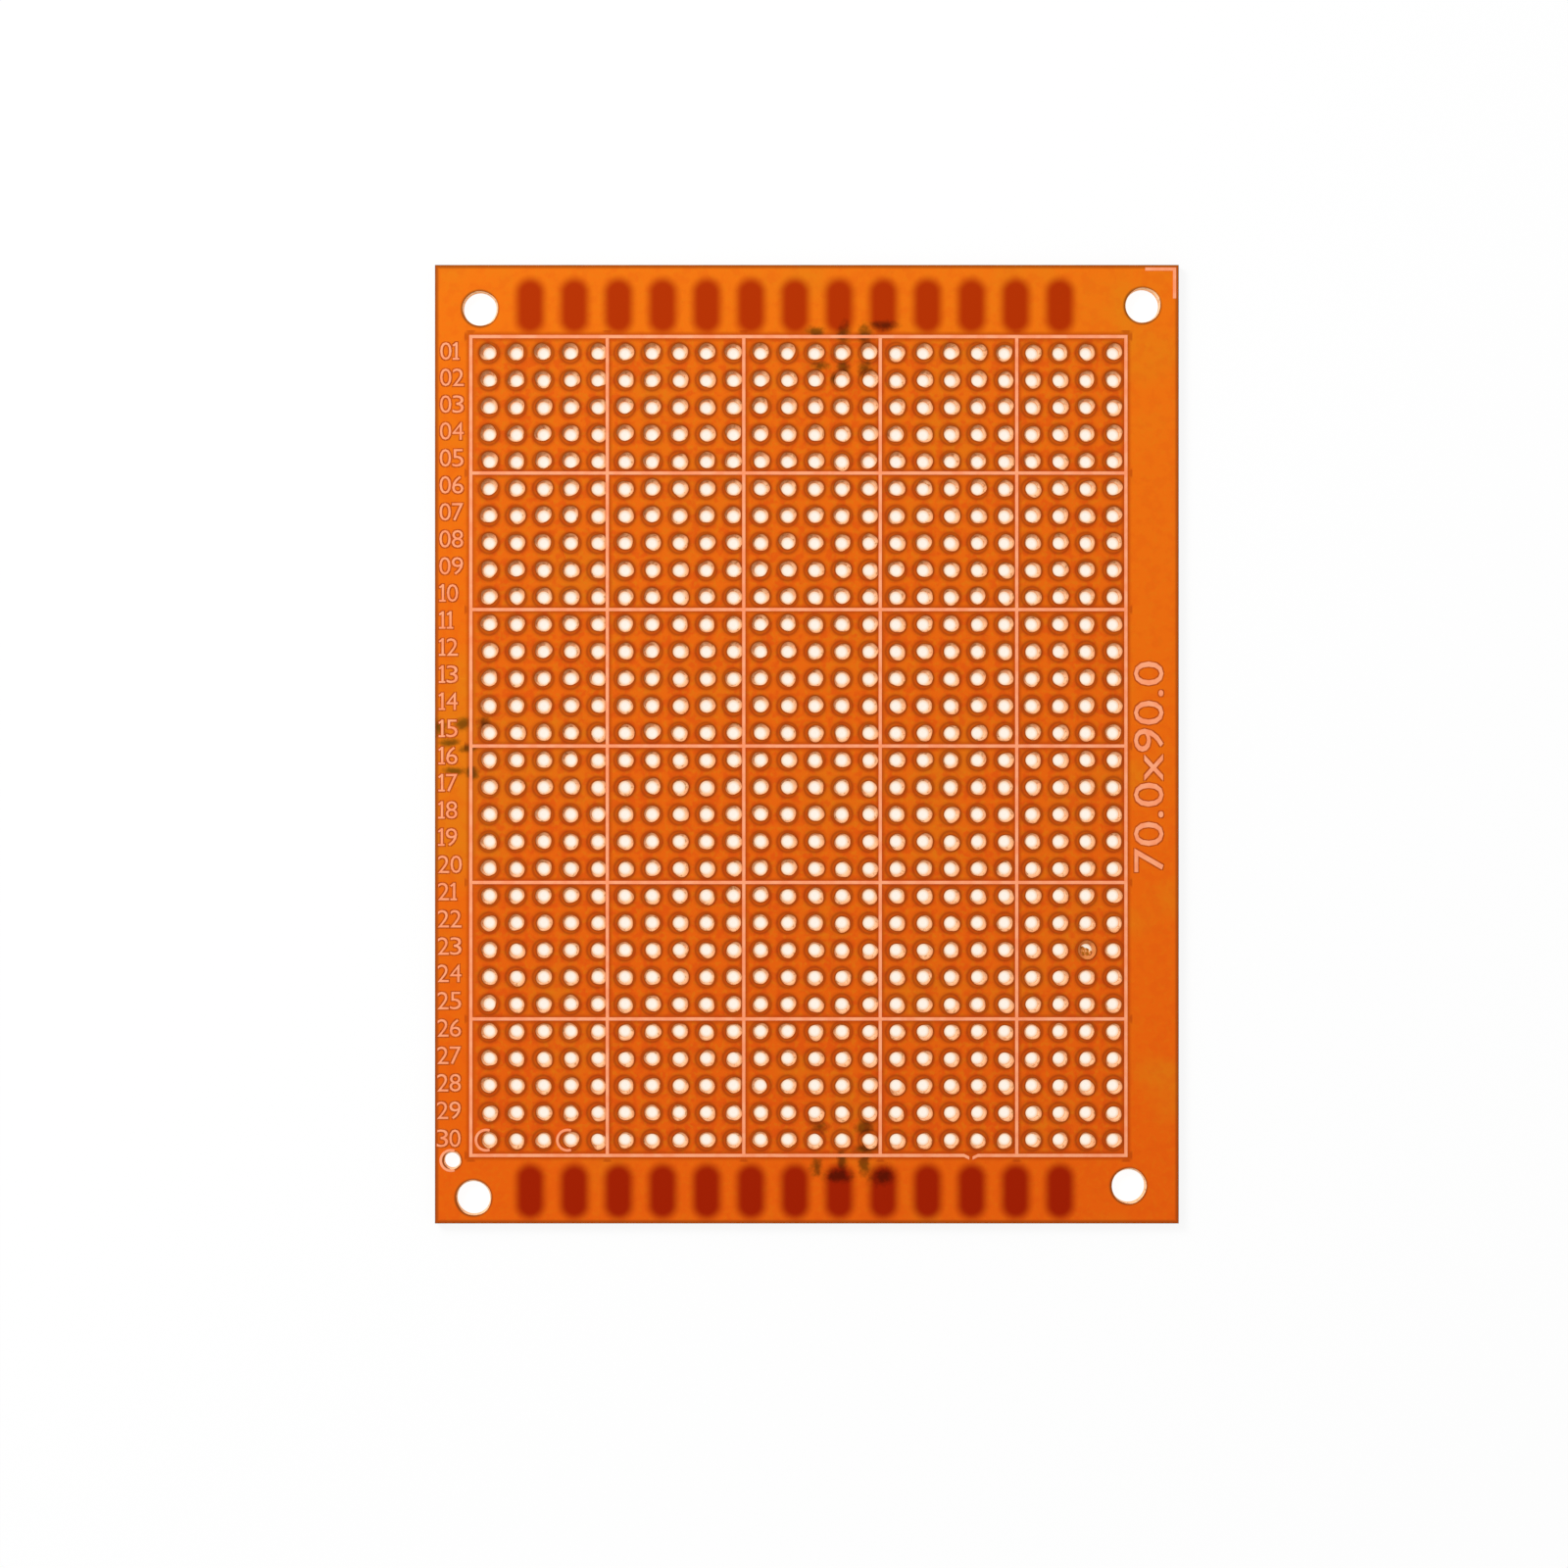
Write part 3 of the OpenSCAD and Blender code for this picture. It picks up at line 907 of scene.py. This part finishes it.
# Words as a mesh of a given size, with its lower left corner at the origin
def makeWords(words, boldness, size):
    deselectAll()
    bpy.ops.object.text_add()
    text = bpy.context.object
    text.data.body = words
    text.data.resolution_u = lettering["curveSteps"]
    text.data.offset = boldness
    text.data.extrude = 0.5
    bpy.ops.object.convert(target="MESH")
    mesh = bpy.context.object
    points = readPoints(mesh)
    low, high = points.min(axis=0), points.max(axis=0)
    writePoints(mesh, (points - low) / (high - low) * size)
    return mesh


# Joins pieces into one, and puts its place into the mesh
def joinPieces(parts, name):
    deselectAll()
    for part in parts:
        part.select_set(True)
    bpy.context.view_layer.objects.active = parts[0]
    bpy.ops.object.join()
    joined = bpy.context.object
    joined.name = name
    applyPlace(joined)
    return joined


# The figure 1 with its foot and flag, from three bars, worked in whole millimetres
def makeOne(thickness):
    height, width, stroke = (lettering[key] / mm for key in ("numberHeight", "oneWidth", "stroke"))
    thin = lettering["thinStroke"] * stroke
    flagX, flagY = lettering["flagAt"]
    bars = [
        ((lettering["stemAt"] * width, height / 2), (stroke, height), 0),
        ((width / 2, thin / 2), (width, thin), 0),
        ((flagX * width, flagY * height), (lettering["flagLength"] * width, thin), lettering["flagTurn"]),
    ]
    parts = []
    for middle, size, turn in bars:
        deselectAll()
        bpy.ops.mesh.primitive_cube_add(size=1, location=(*middle, 0.5), rotation=(0, 0, turn))
        bar = bpy.context.object
        bar.scale = (*size, 1)
        applyPlace(bar)
        parts.append(bar)
    one = parts[0]
    for bar in parts[1:]:
        applyModifier(one, "BOOLEAN", object=bar, operation="UNION", solver="EXACT")
        bpy.data.objects.remove(bar)
    writePoints(one, readPoints(one) * (mm, mm, thickness))
    return one


def figureWidth(figure):
    return lettering["oneWidth"] if figure == "1" else lettering["zeroWidth"]


def makeRowNumbers(name, thickness):
    figures = {"1": makeOne(thickness)}
    for figure in "023456789":
        size = (figureWidth(figure), lettering["numberHeight"], thickness)
        figures[figure] = makeWords(figure, lettering["boldness"], size)
    copies = []
    for row in range(rows):
        share = row / (rows - 1)
        x = boardLow.x + lettering["numberInset"] + lettering["numberDrift"] * share
        rise = lettering["numberRise"] + lettering["numberBow"] * math.sqrt(math.sin(math.pi * share))
        y = firstY - row * pitch + rise - lettering["numberHeight"] / 2
        for figure in "%02d" % (row + 1):
            copy = figures[figure].copy()
            copy.data = figures[figure].data.copy()
            copy.location = (x, y, topZ)
            bpy.context.collection.objects.link(copy)
            copies.append(copy)
            x += figureWidth(figure) + lettering["figureGap"]
    for figure in figures.values():
        bpy.data.objects.remove(figure)
    return joinPieces(copies, name)


# The size mark reads upwards along the right edge
def makeSizeMark(name, thickness):
    size = (lettering["markLength"], lettering["markHeight"], thickness)
    mark = makeWords(lettering["markWords"], lettering["markBoldness"], size)
    mark.name = name
    mark.rotation_euler.z = math.pi / 2
    x = boardHigh.x - lettering["markInset"] + lettering["markHeight"] / 2
    mark.location = (x, lettering["markY"] - lettering["markLength"] / 2, topZ)
    applyPlace(mark)
    return mark


# The painted shadow is the same print, thinner, four times and a little off to each side
def makeInkShadow(makePrint, name):
    copies = []
    for layer, (side, up) in enumerate(((1, 1), (1, -1), (-1, 1), (-1, -1))):
        copy = makePrint(name, (layer + 1) * lettering["marginLayer"])
        shift = np.array((side, up, 0)) * lettering["marginWidth"]
        writePoints(copy, readPoints(copy) + shift)
        copies.append(copy)
    return joinPieces(copies, name)


ink = printedCoat("screenInkPrinted", inkLook)
inkShadow = printedCoat("screenInkShadowPainted", inkShadowLook)
# Each print and what it is printed with
inked = [
    (makeRowNumbers("rowNumbers", lettering["inkThickness"]), ink),
    (makeInkShadow(makeRowNumbers, "rowNumberMargins"), inkShadow),
    (makeSizeMark("sizeMark", lettering["inkThickness"]), ink),
    (makeInkShadow(makeSizeMark, "sizeMarkMargin"), inkShadow),
]
for piece, material in inked:
    closeMesh(piece)
    piece.data.materials.clear()
    piece.data.materials.append(material)
    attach(piece, "root")
print("lettering made")

# The chip of laminate that the punch left in one hole: a torn flake, jagged along its gap
chipLook = {
    "seed": 23,
    "sides": 48,
    "cuts": 4,
    "fit": 0.995,
    "gap": 0.34 * mm,
    "turn": math.radians(28),
    "jag": 0.08 * mm,
    "jagRates": (7, 13, 23),
    "sink": 0.1 * mm,
    "bumps": 5,
    "bumpRate": 14,
    "brown": "#A4600E",
    "tan": "#E8904A",
    "pale": "#FFE2B0",
    "flakeSize": 0.22 * mm,
}


def chipMaterial():
    look = chipLook
    material, tree, surface, place = newMaterial("phenolicChipTorn", roughness=0.7, specular=0.06)
    flakes = addNode(tree, "TexNoise", {"Vector": place, "Scale": 1 / look["flakeSize"], "Detail": 3.0})
    share = addNode(tree, "MapRange", {"Value": flakes, "From Min": 0.38, "From Max": 0.64}, **smooth)
    pale = addNode(tree, "MapRange", {"Value": flakes, "From Min": 0.6, "From Max": 0.68}, **smooth)
    colour = addNode(tree, "Mix", {"Factor": share, 6: look["brown"], 7: look["tan"]}, **mixing)
    colour = addNode(tree, "Mix", {"Factor": pale, 6: colour, 7: look["pale"]}, **mixing)
    finishMaterial(tree, surface, colour, flakes, depth=0.05 * mm, strength=0.6)
    return material


def makeChip():
    look = chipLook
    radius = layout["holeRadius"]
    column = round((chipMiddle.x - firstX) / pitch)
    centre = np.array((firstX + column * pitch, chipLow.y + radius))
    middleZ = (chipLow.z + chipHigh.z) / 2
    draws = np.random.default_rng(look["seed"])
    deselectAll()
    bpy.ops.mesh.primitive_cylinder_add(
        vertices=look["sides"], radius=radius * look["fit"], depth=chipHigh.z - chipLow.z,
        end_fill_type="NGON", location=(*centre, middleZ))
    chip = bpy.context.object
    chip.name = "tornChip"
    applyPlace(chip)
    bpy.ops.object.mode_set(mode="EDIT")
    bpy.ops.mesh.select_all(action="SELECT")
    bpy.ops.mesh.quads_convert_to_tris()
    bpy.ops.mesh.subdivide(number_cuts=look["cuts"])
    bpy.ops.object.mode_set(mode="OBJECT")
    points = readPoints(chip)

    # What lies past the gap's jagged line moves back on to that line
    sine, cosine = math.sin(look["turn"]), math.cos(look["turn"])
    across, upward = np.array((cosine, -sine)), np.array((sine, cosine))
    away = points[:, :2] - centre
    side, up = away @ across, away @ upward
    rates = look["jagRates"]
    turns = draws.uniform(0, 6, len(rates))
    waves = sum(np.sin(side / mm * rate + turn) for rate, turn in zip(rates, turns))
    up = np.minimum(up, radius - look["gap"] - look["jag"] * (1 + waves / len(rates)))
    points[:, :2] = centre + side[:, None] * across + up[:, None] * upward

    # The upper face sinks unevenly
    upper = points[:, 2] > middleZ
    bumpRates = draws.uniform(-look["bumpRate"], look["bumpRate"], (look["bumps"], 2))
    bumps = sum(np.sin(points[:, 0] / mm * a + points[:, 1] / mm * b) for a, b in bumpRates)
    sunk = 0.5 + bumps / (2 * look["bumps"])
    points[upper, 2] -= look["sink"] * sunk[upper].clip(0, 1)
    writePoints(chip, points)
    closeMesh(chip)
    chip.data.materials.append(chipMaterial())
    return chip


tornChip = makeChip()
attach(tornChip, "root")
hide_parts("stuck_chip")

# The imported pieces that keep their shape
copper = copperFoil()
for name, node in frame["nodes"].items():
    if name.startswith(("pad_row", "edge_pads", "printed_grid")):
        node.data.materials.clear()
        node.data.materials.append(ink if name == "printed_grid" else copper)
        node.data.polygons.foreach_set("material_index", [0] * len(node.data.polygons))
print("pieces dressed")

# Floor, light and camera
studio = {
    "floorSize": 1.6,
    "floorGrey": (0.8, 0.8, 0.8, 1),
    "floorGlow": 0.88,
    # The extra glow under the sheet and the hole tints below are painted light seen in the holes
    "sheetGlow": 0.05,
    "gridGlow": -0.02,
    "holeMiddle": "#FFF8EC",
    "holeSide": "#F6D2B0",
    "holeBlur": (0.26 * mm, 0.6 * mm),
    "keyPlace": (-0.28, 0.26, 0.42),
    "keySize": 0.22,
    "keyPower": 2.0,
    "ambient": 0.55,
    "cameraHeight": 0.45,
    "sensorWidth": 36,
    "frameWidth": 146.72 * mm,
    "frameMiddle": (-2.137 * mm, -3.723 * mm),
}


# 1 for the rays that see the backdrop, 0 for those that carry light
def seenRays(tree):
    rays = addNode(tree, "LightPath", out=None)
    direct = addNode(tree, "Math", {0: rays["Is Camera Ray"], 1: rays["Is Glossy Ray"]}, operation="MAXIMUM")
    return addNode(tree, "Math", {0: direct, 1: rays["Is Transmission Ray"]}, operation="MAXIMUM")


def makeFloor():
    deselectAll()
    bpy.ops.mesh.primitive_plane_add(size=studio["floorSize"])
    floor = bpy.context.object
    floor.name = "studioFloor"
    material = bpy.data.materials.new("paintedFloor")
    material.use_nodes = True
    tree = material.node_tree
    tree.nodes.clear()
    # In the holes the floor gets painted light: brighter under the sheet, and a painted warm glow from the
    # sheet, most near their walls
    place = addNode(tree, "TexCoord", out="Object")
    inGrid = insideBox(tree, place, gridMiddle, gridHalf)
    inSheet = insideBox(tree, place, boardMiddle, innerHalf)
    away = fromHoleMiddle(tree, place)
    near, far = studio["holeBlur"]
    outward = addNode(tree, "MapRange", {"Value": away, "From Min": near, "From Max": far}, **smooth)
    warm = addNode(tree, "Mix", {"Factor": outward, 6: studio["holeMiddle"], 7: studio["holeSide"]}, **mixing)
    tint = addNode(tree, "Mix", {"Factor": inGrid, 6: (1, 1, 1, 1), 7: warm}, **mixing)
    glow = addNode(
        tree, "Math", {0: inSheet, 1: studio["sheetGlow"], 2: studio["floorGlow"]}, operation="MULTIPLY_ADD")
    glow = addNode(tree, "Math", {0: inGrid, 1: studio["gridGlow"], 2: glow}, operation="MULTIPLY_ADD")
    # The glow and the light on it add up to white; rays that carry light meet a plain grey floor
    shade = 1 - studio["floorGlow"]
    plain = addNode(tree, "BsdfDiffuse", {"Color": studio["floorGrey"]})
    lit = addNode(tree, "BsdfDiffuse", {"Color": (shade, shade, shade, 1)})
    bright = addNode(tree, "Emission", {"Color": tint, "Strength": glow})
    white = addNode(tree, "AddShader", {0: lit, 1: bright})
    both = addNode(tree, "MixShader", {0: seenRays(tree), 1: plain, 2: white})
    addNode(tree, "OutputMaterial", {"Surface": both}, out=None)
    floor.data.materials.append(material)


def makeLight():
    world = bpy.data.worlds.new("studioWorld")
    bpy.context.scene.world = world
    world.use_nodes = True
    tree = world.node_tree
    tree.nodes.clear()
    strength = addNode(
        tree, "MapRange", {"Value": seenRays(tree), "To Min": studio["ambient"], "To Max": 1.0})
    sky = addNode(tree, "Background", {"Color": (1, 1, 1, 1), "Strength": strength})
    addNode(tree, "OutputWorld", {"Surface": sky}, out=None)
    deselectAll()
    bpy.ops.object.light_add(type="AREA", location=studio["keyPlace"])
    key = bpy.context.object
    key.name = "keyLight"
    key.data.size = studio["keySize"]
    key.data.energy = studio["keyPower"]
    key.rotation_euler = (-key.location).to_track_quat("-Z", "Y").to_euler()


def makeCamera():
    deselectAll()
    bpy.ops.object.camera_add(
        location=(*studio["frameMiddle"], topZ + studio["cameraHeight"]), rotation=(0, 0, 0))
    camera = bpy.context.object
    camera.name = "overheadCamera"
    camera.data.sensor_width = studio["sensorWidth"]
    camera.data.lens = studio["sensorWidth"] * studio["cameraHeight"] / studio["frameWidth"]
    camera.data.clip_start = 0.01
    bpy.context.scene.camera = camera


makeFloor()
makeLight()
makeCamera()
bpy.context.scene.view_settings.view_transform = "Standard"
print("studio ready")
